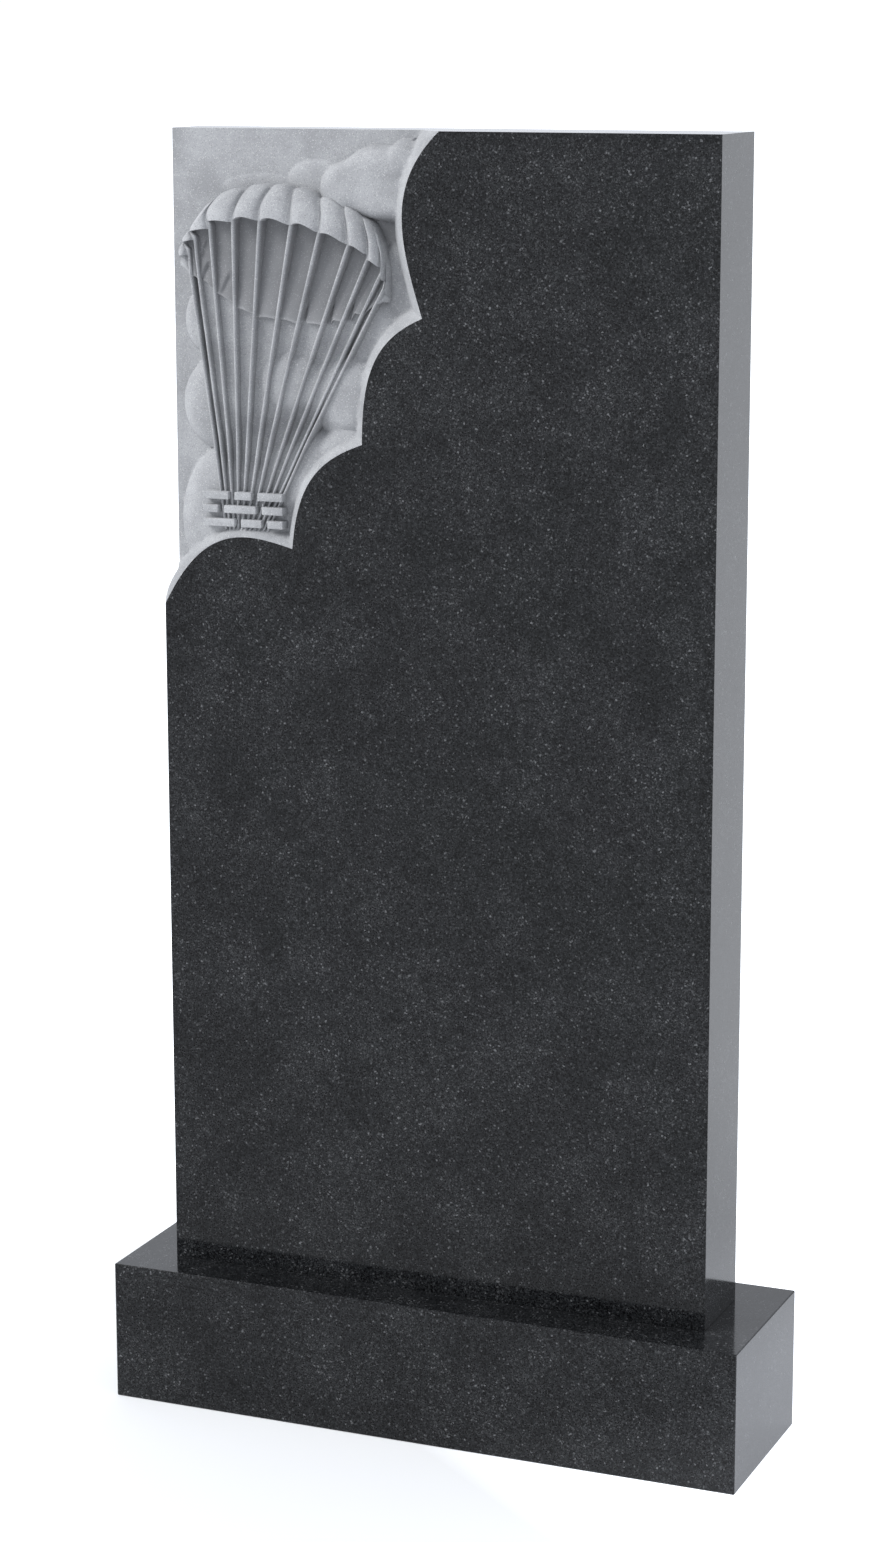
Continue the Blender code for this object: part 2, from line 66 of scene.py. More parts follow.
# The canopy and its lines. Gap 0 lies left of the first line, gap 11 right of the last.
canopy = {
    "lineTops": [
        (-0.2745, 1.2290), (-0.2672, 1.2420), (-0.2490, 1.2536), (-0.2219, 1.2566), (-0.1914, 1.2592),
        (-0.1563, 1.2562), (-0.1253, 1.2487), (-0.0937, 1.2376), (-0.0728, 1.2250), (-0.0590, 1.2105),
        (-0.0568, 1.1945),
    ],
    "lineMiddles": [
        -0.2453, -0.2387, -0.2296, -0.2188, -0.2074, -0.1942, -0.1813, -0.1662, -0.1553, -0.1442, -0.1397,
    ],
    "middleLevel": 1.0384,
    "firstFoot": -0.2329,
    "footPitch": 4.71 * mm,
    "lineDepth": 7.5 * mm,
    "lineTuck": 0.8 * mm,  # how far behind the near hem a line starts
    "lineWidths": (2.4 * mm, 3.4 * mm),  # at the foot, at the hem
    "flank": 1.35,  # a line's width where it meets the ground, over its width
    # the near hem's height at the left and the right end of each gap, and how far it arches between, in mm
    "hems": [
        (1.2215, 1.2228, 0.5), (1.2352, 1.2379, 1.0), (1.2468, 1.2496, 1.0), (1.2577, 1.2572, 1.2),
        (1.2598, 1.2594, 3.3), (1.2590, 1.2559, 4.6), (1.2559, 1.2493, 4.2), (1.2480, 1.2381, 3.4),
        (1.2366, 1.2281, 2.6), (1.2224, 1.2156, 1.5), (1.2061, 1.2020, 0.6), (1.1935, 1.1850, 0.4),
    ],
    # the far hem's height at both ends of each gap, and the share of the gap where a pleat breaks it
    "farHems": [
        (1.2120, 1.2050, 0.0), (1.2010, 1.1995, 0.0), (1.1985, 1.1900, 0.0), (1.1845, 1.1745, 0.0),
        (1.1705, 1.1640, 0.0), (1.1618, 1.1606, 0.0), (1.1606, 1.1565, 0.0), (1.1585, 1.1565, 0.25),
        (1.1563, 1.1605, 0.40), (1.1601, 1.1680, 0.50), (1.1677, 1.1760, 0.0), (1.1790, 1.1800, 0.0),
    ],
    "farArch": 1.2 * mm,
    "crown": [
        (-0.2806, 1.2362), (-0.2722, 1.2480), (-0.2454, 1.2782), (-0.2092, 1.2897), (-0.1811, 1.2920),
        (-0.1565, 1.2905), (-0.1279, 1.2818), (-0.1020, 1.2740), (-0.0815, 1.2640), (-0.0700, 1.2565),
        (-0.0570, 1.2250),
    ],
    "crownArches": [0.5, 2.2, 5.0, 5.0, 4.0, 4.0, 4.6, 4.6, 3.4, 0.8, 5.0, 0.8],  # mm, over each gap
    "crownDepths": [18.5] * 10 + [20.0, 22.5, 24.0],  # mm, at the tips and the lines
    "crownRoll": 0.3,  # the share of the fall to the crown that comes close under it
    "crownPowers": (2, 8),  # of the height, for the slow part of that fall and for the roll
    "hemDepths": [13.0, 12.2, 10.2, 8.2, 6.8, 6.3, 6.6, 7.8, 9.5, 11.1, 12.8],  # mm, at the lines
    "tipDepths": (15.0, 22.0),  # mm, the hem's at the canopy's left and right tip
    "archPower": 2.6,  # how square the arches of the crown are
    "archSkew": 0.8,  # below 1 the other arches peak left of the middle
    "bulge": 5.9 * mm,
    "bulgeFade": 0.4,  # how much of the bulge is gone at the crown
    "seamSwings": [-0.5, -1.0, -4.5, -2.5, -3.5, 0.0, 3.0, 2.0, 3.4, 5.2, 2.0],  # mm sideways, half way up
    "seamWidth": 1.6 * mm,
    "seamGroove": 1.0 * mm,
    "seamEnds": 0.4,  # the share of the groove that is left at its two ends
    "lining": (12.0 * mm, 22.5 * mm),  # depth inside, at the far hem and close under the near hem
    "liningPower": 0.8,  # below 1 that fall is steeper close above the far hem
    "liningSwell": 0.8 * mm,
    "closePower": 6,  # how suddenly the lining closes on the hem towards the canopy's two tips
    "fan": (2, 9, 16.5 * mm),  # below the far hem, from this gap to that, the ground is no deeper than this
    # creases in the cloth: from one point to the next, how deep it drops below them, and how far it takes
    # to come back
    "creases": [
        ((-0.2556, 1.2417), (-0.2640, 1.2210), 3.5 * mm, 7 * mm),
        ((-0.2530, 1.2180), (-0.2640, 1.1951), 4.5 * mm, 9 * mm),
        ((-0.2291, 1.2076), (-0.2405, 1.1812), 3.5 * mm, 8 * mm),
        ((-0.0600, 1.2075), (-0.0500, 1.2030), 2.5 * mm, 4 * mm),
        ((-0.0585, 1.1995), (-0.0500, 1.1940), 2.5 * mm, 4 * mm),
    ],
    "creaseEdge": 2.2 * mm,
    "creaseFade": 0.25,  # the share of a crease's length that it fades over at each end
    "creasedGap": 10,  # from this gap on the canopy's outside has the creases too
    "pleat": 3.2 * mm,
    "pleatHeight": 0.36,  # of the way up to the near hem
    "pleatEdge": 0.08,
    "step": 0.25 * mm,  # how far the upright face of a hem leans out
}

# Clouds: each has a rise above the full depth, and lobes that melt into one another, each lobe an ellipse
# (x, z, half width, half height)
clouds = {
    "banks": [
        (22.0 * mm, [(-0.222, 0.952, 0.071, 0.084)]),
        (19.0 * mm, [(-0.240, 1.072, 0.049, 0.051)]),
        (15.0 * mm, [(-0.258, 1.157, 0.028, 0.036)]),
        (21.5 * mm, [(-0.150, 1.000, 0.058, 0.052), (-0.100, 1.022, 0.038, 0.036)]),
        (21.5 * mm, [(-0.160, 1.097, 0.046, 0.038), (-0.103, 1.087, 0.047, 0.046)]),
        (19.5 * mm, [(-0.104, 1.292, 0.028, 0.026), (-0.068, 1.303, 0.040, 0.032),
                     (-0.038, 1.322, 0.018, 0.019), (-0.052, 1.284, 0.056, 0.024)]),
        (4.5 * mm, [(-0.137, 1.301, 0.032, 0.019)]),
        (1.3 * mm, [(-0.198, 1.291, 0.046, 0.014)]),
        (7.0 * mm, [(-0.040, 1.197, 0.038, 0.044)]),
        (14.0 * mm, [(-0.078, 1.148, 0.040, 0.040)]),
    ],
    "melt": 9.0,  # how sharply two lobes stay apart
    "power": 4.0,  # how flat a dome is on top and how steep at its rim
    "tiny": 1e-30,  # keeps a logarithm finite far from every lobe
}

# The guide net that the carving hangs on. For each guide row above the lowest lobe: its height on the
# slab's side, the point left and the point right of the lines, its height on the scalloped edge, and how
# far in and up from that edge the wall meets the ground.
net = {
    "ends": [
        (0.944, (-0.2500, 0.944), (-0.1800, 0.944), 0.944, (0.0180, 0.0)),
        (1.0384, (-0.2580, 1.0384), (-0.1280, 1.0430), 1.0384, (0.0220, 0.0150)),
        (1.1950, (-0.2836, 1.2120), (-0.0545, 1.1802), 1.1668, (0.0210, 0.0090)),
        (1.2080, (-0.2837, 1.2215), (-0.0538, 1.1850), 1.1800, (0.0210, 0.0060)),
        (1.2260, (-0.2862, 1.2250), (-0.0535, 1.2130), 1.2150, (0.0180, 0.0040)),
        (top, (-0.2880, top), (-0.0450, top), top, (0.0240, 0.0)),
    ],
    "topColumns": (-0.278, -0.072),  # the first and the last line's x on the top row
    "bottomColumns": (-0.25, -0.181, -0.172),  # the x left and right of the lines on the lowest row
    # each band's rows, and how much they crowd towards its top
    "bands": {
        "wall": (10, 1.0), "feet": (36, 1.5), "lines": (70, 1.3),
        "inside": (50, 1.0), "outside": (56, 1.0), "sky": (52, 1.0),
    },
    # the row at this rise in its band leans down or up, so that a hem's face isn't quite upright
    "leans": {"lines": (1.0, -1), "inside": (1.0, -1), "sky": (0.0, 1)},
    "sideSteps": 22,
    "gapSteps": 13,
    "groundSteps": 10,
    "wallSteps": 10,
    "lineShifts": [-1.35, -1.12, -1.0, -0.7, -0.06, 0.06, 0.7, 1.0, 1.12, 1.35],
    "follow": 0.25,  # how far the right tip goes along when a row's end moves to the scalloped edge
    "swingLate": 3,  # how late the rows right of the lines swing over to the canopy's tip
    "tipSteps": 8,
    "tipShift": 0.3,  # how far outside each tip of the canopy its last column stands, in half line widths
    "tipStep": 0.05,  # the same on the rows that run straight, in guide columns
    "footLimits": (0.3, 0.9),  # where the wall's foot is on such a row, least and most, as a share of it
}
bandNames = list(net["bands"])
# the numbers of the guide columns and the guide rows that have a name
leftGuide, firstLine, lastLine, rightGuide, wallFoot, edgeGuide = 1, 2, 12, 13, 14, 15
footRow, middleRow, farHemRow, nearHemRow, crownRow, topRow = range(1, 7)


def cubic(points, t):
    # a point of a cubic curve is its four points weighted with the cubic's shares of t and 1 - t
    a, b, c, d = np.array(points)
    t = t[:, None]
    return a * (1 - t) ** 3 + 3 * b * t * (1 - t) ** 2 + 3 * c * t * t * (1 - t) + d * t ** 3


lobePaths = [cubic(lobe, np.linspace(0, 1, edge["points"])) for lobe in edge["lobes"]]
rightPath = np.concatenate(lobePaths[:3])[::-1]
lowPath = lobePaths[3][::-1]


def edgeX(z):
    # how far right the carving reaches at a height, read off the three lobes on its right
    return np.interp(z, rightPath[:, 1], rightPath[:, 0])


def edgeZ(x):
    # how low the carving reaches at an x, read off the lowest lobe
    return np.interp(x, lowPath[:, 0], lowPath[:, 1])


def distanceTo(path, x, z):
    # the shortest way from each point to any of the path's straight stretches
    nearest = np.full(x.shape, np.inf)
    for start, end in zip(path[:-1], path[1:]):
        run = end - start
        t = np.clip(((x - start[0]) * run[0] + (z - start[1]) * run[1]) / (run @ run), 0, 1)
        nearest = np.minimum(nearest, np.hypot(x - start[0] - t * run[0], z - start[1] - t * run[1]))
    return nearest


def columnPlaces():
    # Each column's place along the guide columns, and its shift in half line widths: even steps in the gaps,
    # and on each line the steps that round it.
    flank, tip = canopy["flank"], net["tipShift"]
    tipShares = np.linspace(0, 1, net["tipSteps"])[1:-1]
    gapShares = np.arange(1, net["gapSteps"]) / net["gapSteps"]
    places = [(s, 0.0) for s in np.linspace(0, leftGuide, net["sideSteps"])[:-1]]
    places += [(leftGuide, -tip), (leftGuide, 0.0)]
    places += [(leftGuide + s, -flank * s) for s in tipShares]
    for line in range(firstLine, lastLine + 1):
        places += [(line, s) for s in net["lineShifts"]]
        if line < lastLine:
            places += [(line + s, flank * (1 - 2 * s)) for s in gapShares]
    places += [(lastLine + s, flank * (1 - s)) for s in tipShares]
    places += [(rightGuide, 0.0), (rightGuide, tip)]
    places += [(rightGuide + s, 0.0) for s in np.linspace(0, 1, net["groundSteps"])[1:-1]]
    places += [(s, 0.0) for s in np.linspace(wallFoot, edgeGuide, net["wallSteps"])]
    return np.array(places).T


column, shift = columnPlaces()
onLine = (column % 1 == 0) & (column >= firstLine) & (column <= lastLine)
inCanopy = (column >= leftGuide) & (column <= rightGuide)
inCanopy &= ~((column == leftGuide) & (shift < 0)) & ~((column == rightGuide) & (shift > 0))
# each column's gap, and its share of the way across. A line's left half belongs to the gap before it.
lastGap = lastLine - leftGuide
gap = np.clip(np.floor(column).astype(int) - leftGuide - (onLine & (shift < 0)), 0, lastGap)
share = np.where(onLine, np.where(shift < 0, 1.0, 0.0), column - leftGuide - gap)
share = np.clip(share, 0.0, 1.0)
# two arches over each gap, both 0 at its lines
crownArch = np.where(inCanopy, 1 - np.abs(2 * share - 1) ** canopy["archPower"], 0.0)
clothArch = np.where(inCanopy, np.sin(np.pi * share ** canopy["archSkew"]), 0.0)


def acrossNet(values):
    # a value for every column, in proportion between those of the guide columns
    return np.interp(column, np.arange(edgeGuide + 1), values)


def acrossCanopy(values):
    # the same from the canopy's left tip over its lines to its right tip
    return np.interp(column, np.arange(leftGuide, rightGuide + 1), values)


hemDepth = acrossCanopy([canopy["tipDepths"][0], *canopy["hemDepths"], canopy["tipDepths"][1]]) * mm


def guideRows(stepped):
    # Seven rows of guide points, each an x and a z for every column. When stepped, a hem's height runs from
    # its gap's left value to its right value, with an arch between, so it jumps at each line.
    tops, crown = np.array(canopy["lineTops"]), np.array(canopy["crown"])
    hems, farHems = np.array(canopy["hems"]), np.array(canopy["farHems"])
    middles, middleLevel = np.array(canopy["lineMiddles"]), canopy["middleLevel"]
    feet = canopy["firstFoot"] + canopy["footPitch"] * np.arange(len(tops))
    farLevels = (farHems[:-1, 1] + farHems[1:, 0]) / 2
    farX = middles + (tops[:, 0] - middles) * (farLevels - middleLevel) / (tops[:, 1] - middleLevel)
    lineX = [feet, middles, farX, tops[:, 0], crown[:, 0], np.linspace(*net["topColumns"], len(tops))]
    lineZ = [None, None, farLevels, tops[:, 1], crown[:, 1], None]
    leftFoot, *rightFeet = net["bottomColumns"]
    lowestX = acrossNet([left, leftFoot, *feet, *rightFeet, lowPath[-1, 0]])
    rows = [(lowestX, edgeZ(lowestX))]
    for x, z, (side, leftPoint, rightPoint, level, (inward, up)) in zip(lineX, lineZ, net["ends"]):
        z = np.full(len(x), leftPoint[1]) if z is None else z
        rowX = [left, leftPoint[0], *x, rightPoint[0], edgeX(level + up) - inward, edgeX(level)]
        rowZ = [side, leftPoint[1], *z, rightPoint[1], level + up, level]
        rows.append((acrossNet(rowX), acrossNet(rowZ)))
    rows = np.array(rows)
    if not stepped:
        return rows
    pleats = farHems[gap, 2]
    farShare = np.where(pleats > 0, share > pleats, share)
    farZ = farHems[gap, 0] + (farHems[gap, 1] - farHems[gap, 0]) * farShare + canopy["farArch"] * clothArch
    hemZ = hems[gap, 0] + (hems[gap, 1] - hems[gap, 0]) * share + hems[gap, 2] * mm * clothArch
    rows[farHemRow, 1] = np.where(inCanopy, farZ, rows[farHemRow, 1])
    rows[nearHemRow, 1] = np.where(inCanopy, hemZ, rows[nearHemRow, 1])
    rows[crownRow, 1] += np.array(canopy["crownArches"])[gap] * mm * crownArch
    return rows


def shiftWays():
    # the way that a shift goes on each guide row: to the right, and on the crown's row along the crown
    side, leftPoint, rightPoint, level, (inward, up) = net["ends"][crownRow - 1]
    points = np.array([(left, side), leftPoint, *canopy["crown"], rightPoint,
                       (edgeX(level) - inward, level + up), (edgeX(level), level)])
    ways = np.gradient(points, axis=0)
    ways /= np.linalg.norm(ways, axis=1, keepdims=True)
    sideways = [np.ones(len(column)), np.zeros(len(column))]
    rows = np.array([sideways] * (topRow + 1))
    rows[crownRow] = [acrossNet(way) for way in ways.T]
    return rows


plainGuides, steppedGuides = guideRows(False), guideRows(True)
ways = shiftWays()


def lineWidth(level):
    # a line's width at a level counted in guide rows, and above the near hem a seam's
    return np.interp(level, [footRow, nearHemRow, crownRow], [*canopy["lineWidths"], canopy["seamWidth"]])


def straightRight(points, swung):
    # Right of the last line a row runs straight to the edge, with the wall's foot at its own share of the
    # way, and only the swung share of it goes over to the canopy's tip.
    beyond = column > lastLine
    flank = np.flatnonzero(~beyond)[-1]
    start, end = points[:, :, flank:flank + 1], points[:, :, -1:]
    foot = np.clip(1 - edge["wallRuns"][2] / (end - start)[0], *net["footLimits"])
    place = column + net["tipStep"] * ((column == rightGuide) & (shift > 0))
    beforeFoot = (place - lastLine) / (wallFoot - lastLine) * foot
    afterFoot = foot + (place - wallFoot) * (1 - foot)
    straight = start + (end - start) * np.where(place < wallFoot, beforeFoot, afterFoot)
    return np.where(beyond, straight + (points - straight) * swung, points)


def bandPoints(guides, band, rise):
    # The x and z of one band's rows: the guide rows below and above it, mixed by the rise, and each column
    # shifted along the row by its share of the line's width there. Right of the lines the rows follow the
    # scalloped edge.
    name = bandNames[band]
    low, high = guides[band][:, None], guides[band + 1][:, None]
    lean = 0.0
    if name in net["leans"]:
        at, sign = net["leans"][name]
        length = np.hypot(*(high - low))
        spare = abs(np.diff(rise)[-1 if at else 0]) / 2  # half the way to the next row
        lean = (rise == at)[:, None] * sign * np.minimum(canopy["step"] / length, spare)
    rise = rise[:, None]
    way = ways[band][:, None] * (1 - rise) + ways[band + 1][:, None] * rise
    x, z = low + (high - low) * (rise + lean) + way * shift * lineWidth(band + rise) / 2
    if name == "outside":
        x = x + acrossCanopy([0.0, *canopy["seamSwings"], 0.0]) * mm * np.sin(np.pi * rise)
    if name == "wall":
        return np.array([x, np.where(rise == 0, edgeZ(x), z)])
    follow = np.interp(column, [lastLine, rightGuide, wallFoot], [0.0, net["follow"], 1.0])
    points = np.array([x + (edgeX(z[:, -1:]) - x[:, -1:]) * follow, z])
    if name in ("feet", "lines"):
        points = straightRight(points, rise ** net["swingLate"] if name == "lines" else 0.0)
    return points


def groundDepth(x, z):
    # The full depth, less each cloud's dome (rise x root of 1 - reach to a power, the reach being the soft
    # least of its lobes'), or the hollow wall where that is shallower: the full depth x a power of the way
    # in from the lobe over the wall's run.
    depth = np.full(x.shape, edge["depth"])
    melt = clouds["melt"]
    for rise, lobes in clouds["banks"]:
        near = sum(np.exp(-melt * np.hypot((x - cx) / halfX, (z - cz) / halfZ))
                   for cx, cz, halfX, halfZ in lobes)
        reach = np.maximum(-np.log(near + clouds["tiny"]) / melt, 0)
        dome = rise * np.sqrt(np.clip(1 - reach ** clouds["power"], 0, 1))
        depth = np.minimum(depth, edge["depth"] - dome)
    for path, run, power in zip(lobePaths, edge["wallRuns"], edge["wallPowers"]):
        way = np.clip(distanceTo(path, x, z) / run, 0, 1)
        depth = np.minimum(depth, edge["depth"] * way ** power)
    return depth


def pleatWedge(rise):
    # 1 in the wedge beside a line where a pleat folds in, which narrows upwards, 0 outside it
    width = np.array(canopy["farHems"])[gap, 2] * (1 - rise / canopy["pleatHeight"])
    return np.clip((width - share) / canopy["pleatEdge"], 0, 1) * (share > 0) * inCanopy


def creaseDrop(x, z):
    # each crease drops over its edge on its lower side, and comes back exponentially with distance
    drop = np.zeros(x.shape)
    for start, end, depth, reach in canopy["creases"]:
        run = np.array(end) - start
        length = np.hypot(*run)
        t = ((x - start[0]) * run[0] + (z - start[1]) * run[1]) / length ** 2
        ends = np.clip(t / canopy["creaseFade"], 0, 1) * np.clip((1 - t) / canopy["creaseFade"], 0, 1)
        below = ((x - start[0]) * run[1] - (z - start[1]) * run[0]) / length * np.sign(run[0])
        side = np.clip(below / canopy["creaseEdge"], 0, 1) * np.exp(-below / reach)
        drop = np.maximum(drop, depth * ends * side)
    return drop


def liningDepth(rise, x, z):
    # From the far hem up the lining falls back with a power of the rise, swells in each gap, and drops in
    # the pleats and creases. It stays behind the near hem, and closes on its depth towards the two tips.
    shallow, deep = canopy["lining"]
    depth = shallow + (deep - shallow) * rise ** canopy["liningPower"] - canopy["liningSwell"] * clothArch
    depth = depth + canopy["pleat"] * pleatWedge(rise) + creaseDrop(x, z)
    middle, half = (leftGuide + rightGuide) / 2, (rightGuide - leftGuide) / 2
    closing = 1 - (np.abs(column - middle) / half) ** canopy["closePower"]
    return hemDepth + np.maximum(depth - hemDepth, 0) * closing


def outsideDepth(rise, x, z):
    # From the near hem's depth to the crown's with two powers of the rise, less the root of an arch as each
    # gap's bulge, and with a groove at each seam.
    roll, (slow, late) = canopy["crownRoll"], canopy["crownPowers"]
    crownDepth = acrossCanopy(canopy["crownDepths"]) * mm
    fall = (1 - roll) * rise ** slow + roll * rise ** late
    bulge = canopy["bulge"] * np.sqrt(clothArch) * (1 - canopy["bulgeFade"] * rise)
    groove = canopy["seamGroove"] * onLine * np.clip(1 - np.abs(shift), 0, 1)
    groove = groove * (canopy["seamEnds"] + (1 - canopy["seamEnds"]) * np.sin(np.pi * rise))
    depth = hemDepth + (crownDepth - hemDepth) * fall - bulge + groove
    return depth + creaseDrop(x, z) * (gap >= canopy["creasedGap"])


def withLines(level, depth):
    # A line has half a circle across it. Its crest runs from the lines' depth at the middle row to close
    # behind the near hem, and its flanks fall from there to the ground.
    half = lineWidth(level) / 2
    outward = np.abs(shift)
    way = np.clip((level - middleRow) / (nearHemRow - middleRow), 0, 1)
    crest = canopy["lineDepth"] + (hemDepth + canopy["lineTuck"] - canopy["lineDepth"]) * way
    surface = crest + half * (1 - np.sqrt(1 - np.minimum(outward, 1.0) ** 2))
    fall = np.clip((outward - 1) / (canopy["flank"] - 1), 0, 1)
    surface = surface + np.maximum(depth - surface, 0) * fall
    return np.where(onLine, np.minimum(depth, surface), depth)


def bandDepth(band, rise, x, z):
    # the ground, and on it the canopy's inside or outside, and the lines
    name = bandNames[band]
    rise = rise[:, None]
    depth = groundDepth(x, z)
    if name == "inside":
        depth = np.where(inCanopy, liningDepth(rise, x, z), depth)
    if name == "outside":
        depth = np.where(inCanopy, outsideDepth(rise, x, z), depth)
    if name in ("feet", "lines"):
        first, last, deepest = canopy["fan"]
        depth = np.where((gap >= first) & (gap <= last), np.minimum(depth, deepest), depth)
    if name in ("feet", "lines", "inside"):
        depth = withLines(band + rise, depth)
    if name == "wall":
        depth = np.where(rise == 0, 0.0, depth)
    return np.where(column == edgeGuide, 0.0, depth)


# Painted shade on the cut stone, from 0 to 1: colour darkened where shade falls in the carving's hollows,
# under its hems and beside its lines
paintedShades = {
    # a light painted shade over all of the carving but the canopy's outside, which keeps the lit ground and
    # clouds from coming out brighter than the canopy
    "ground": 0.12,
    "paintedShadeSpots": [  # x, z, half width, half height, painted shade: dark spots where shade falls, beside the crown, under a cloud and along the slab's left side
        (-0.058, 1.248, 0.016, 0.018, 0.75),
        (-0.150, 1.055, 0.050, 0.008, 0.40),
        (-0.293, 1.160, 0.012, 0.200, 0.24),
    ],
    # painted shade on the canopy's lining, where its near hem shades it
    "lining": 0.68,
    "pleat": 0.08,  # painted shade on top of the lining's, in the pleats
    "lip": (0.5, 0.03),  # the share of it at the far hem, and how far up the lining it is whole
    "line": 0.36,  # painted shade on the flanks
    "lineBand": (0.95, 1.10),  # a line's painted shade starts and is full at these shares of its half width
    # painted shade beside each seam on the canopy's outside
    "seam": 0.04,
    "seamStart": 0.6,  # of the way across a gap to the seam
    "under": 0.24,  # painted shadow between the lines, close under the far hem
    "underStart": 0.55,
    "underPower": 3,
}


def paintedStoneShade(band, rise, x, z):
    # Painted shade: the ground's light painted shade, or a painted shade spot's where that is darker, which
    # fades from its middle out; the canopy's lining but for its lip and its outermost gaps, darker in the
    # pleats; the flanks of the lines; the stone close under the far hem; and none on the canopy's outside but
    # along the seams.
    name = bandNames[band]
    rise = rise[:, None]
    paintedShade = np.full(x.shape, paintedShades["ground"])
    for cx, cz, halfX, halfZ, strength in paintedShades["paintedShadeSpots"]:
        reach = ((x - cx) / halfX) ** 2 + ((z - cz) / halfZ) ** 2
        paintedShade = np.maximum(paintedShade, strength * np.exp(-reach))
    start, full = paintedShades["lineBand"]
    flank = np.clip((np.abs(shift) - start) / (full - start), 0, 1)
    if name == "outside":
        seam = paintedShades["seam"] * np.clip((share - paintedShades["seamStart"]) / (1 - paintedShades["seamStart"]), 0, 1) ** 2
        paintedShade = np.where(inCanopy, seam, paintedShade)
    if name == "inside":
        least, height = paintedShades["lip"]
        lip = (least + (1 - least) * np.clip(rise / height, 0, 1)) * (gap > 0) * (gap < lastGap)
        cloth = lip * (paintedShades["lining"] + paintedShades["pleat"] * pleatWedge(rise))
        paintedShade = np.where(inCanopy, np.where(onLine, cloth * flank, cloth), paintedShade)
    if name in ("feet", "lines"):
        paintedShade = np.where(onLine, np.maximum(paintedShade, paintedShades["line"]) * flank, paintedShade)
    if name == "lines":
        way = np.clip((rise - paintedShades["underStart"]) / (1 - paintedShades["underStart"]), 0, 1)
        between = inCanopy & ~(onLine & (np.abs(shift) < 1))
        paintedShade = np.maximum(paintedShade, paintedShades["under"] * way ** paintedShades["underPower"] * between)
    return paintedShade


def carvedGrid():
    # Each column keeps the path that it has without steps, and its points slide along that path to the
    # heights that the stepped hems give them.
    rises = [1 - np.linspace(1, 0, rows + 1) ** ease for rows, ease in net["bands"].values()]
    rises[:2] = [rise[:-1] for rise in rises[:2]]  # above them no hem steps, so the next band has that row
    bands = range(len(rises))
    pathX, pathZ = np.concatenate([bandPoints(plainGuides, *band) for band in zip(bands, rises)], axis=1)
    z = np.concatenate([bandPoints(steppedGuides, *band)[1] for band in zip(bands, rises)])
    x = np.array([np.interp(*path) for path in zip(z.T, pathZ.T, pathX.T)]).T
    stops = np.cumsum([len(rise) for rise in rises])[:-1]
    parts = list(zip(bands, rises, np.split(x, stops), np.split(z, stops)))
    depth = np.concatenate([bandDepth(*part) for part in parts])
    paintedShade = np.concatenate([paintedStoneShade(*part) for part in parts])
    grid = np.stack([x, front + depth, z], axis=-1)
    grid[:, 0, 0] = left
    grid[-1, :, 2] = top
    return grid, paintedShade


def addObject(name, data):
    # puts an object with this data into the scene
    made = bpy.data.objects.new(name, data)
    bpy.context.collection.objects.link(made)
    return made


def carvedStele():
    # the carved grid, closed by flat faces that run from its rim round the slab
    grid, paintedShade = carvedGrid()
    rows, columns = grid.shape[:2]
    corners = [(x, y, z) for z in (base, top) for y in (front, back) for x in (left, right)]
    corners.remove((left, front, top))  # carved away
    start = rows * columns
    lowFrontLeft, lowFrontRight, lowBackLeft, lowBackRight = range(start, start + 4)
    topFrontRight, topBackLeft, topBackRight = range(start + 4, start + 7)
    index = np.arange(start).reshape(rows, columns)
    quads = np.stack([index[:-1, :-1], index[:-1, 1:], index[1:, 1:], index[1:, :-1]], axis=-1).reshape(-1, 4)
    foot, rim = index[0].tolist(), index[1:, -1].tolist()
    side, head = index[:, 0].tolist(), index[-1].tolist()
    flats = [
        [lowFrontLeft, lowFrontRight, topFrontRight] + rim[::-1] + foot[::-1],
        [lowBackLeft, lowFrontLeft] + side + [topBackLeft],
        head + [topFrontRight, topBackRight, topBackLeft],
        [lowFrontRight, lowBackRight, topBackRight, topFrontRight],
        [lowBackRight, lowBackLeft, topBackLeft, topBackRight],
        [lowBackLeft, lowBackRight, lowFrontRight, lowFrontLeft],
    ]
    mesh = bpy.data.meshes.new("carvedStele")
    mesh.from_pydata(grid.reshape(-1, 3).tolist() + corners, [], quads.tolist() + flats)
    # each point's painted shade, which the cut stone's colour reads
    mesh.attributes.new("paintedShade", "FLOAT", "POINT").data.foreach_set(
        "value", np.append(paintedShade, np.zeros(len(corners))).astype(np.float32))
    isCarved = np.arange(len(mesh.polygons)) < len(quads)
    mesh.set_sharp_from_angle(angle=np.radians(edge["sharpAngle"]))
    mesh.polygons.foreach_set("use_smooth", isCarved)
    mesh.polygons.foreach_set("material_index", isCarved.astype(np.int32))
    return addObject("carvedStele", mesh)


# Rows of plain raised strokes at the foot of the carving: each row's height, and its strokes from x to x
strokes = {
    "rows": [
        (0.9795, [(-0.2560, -0.2270), (-0.2200, -0.2010), (-0.1940, -0.1660)]),
        (0.9655, [(-0.2560, -0.2390), (-0.2320, -0.1960), (-0.1890, -0.1660)]),
        (0.9515, [(-0.2560, -0.2200), (-0.2130, -0.1900), (-0.1830, -0.1660)]),
    ],
    "height": 8.0 * mm,
    "topDepth": 2.0 * mm,
    "rootDepth": 24.0 * mm,
    "round": 0.7 * mm,
    "roundSteps": 3,
}


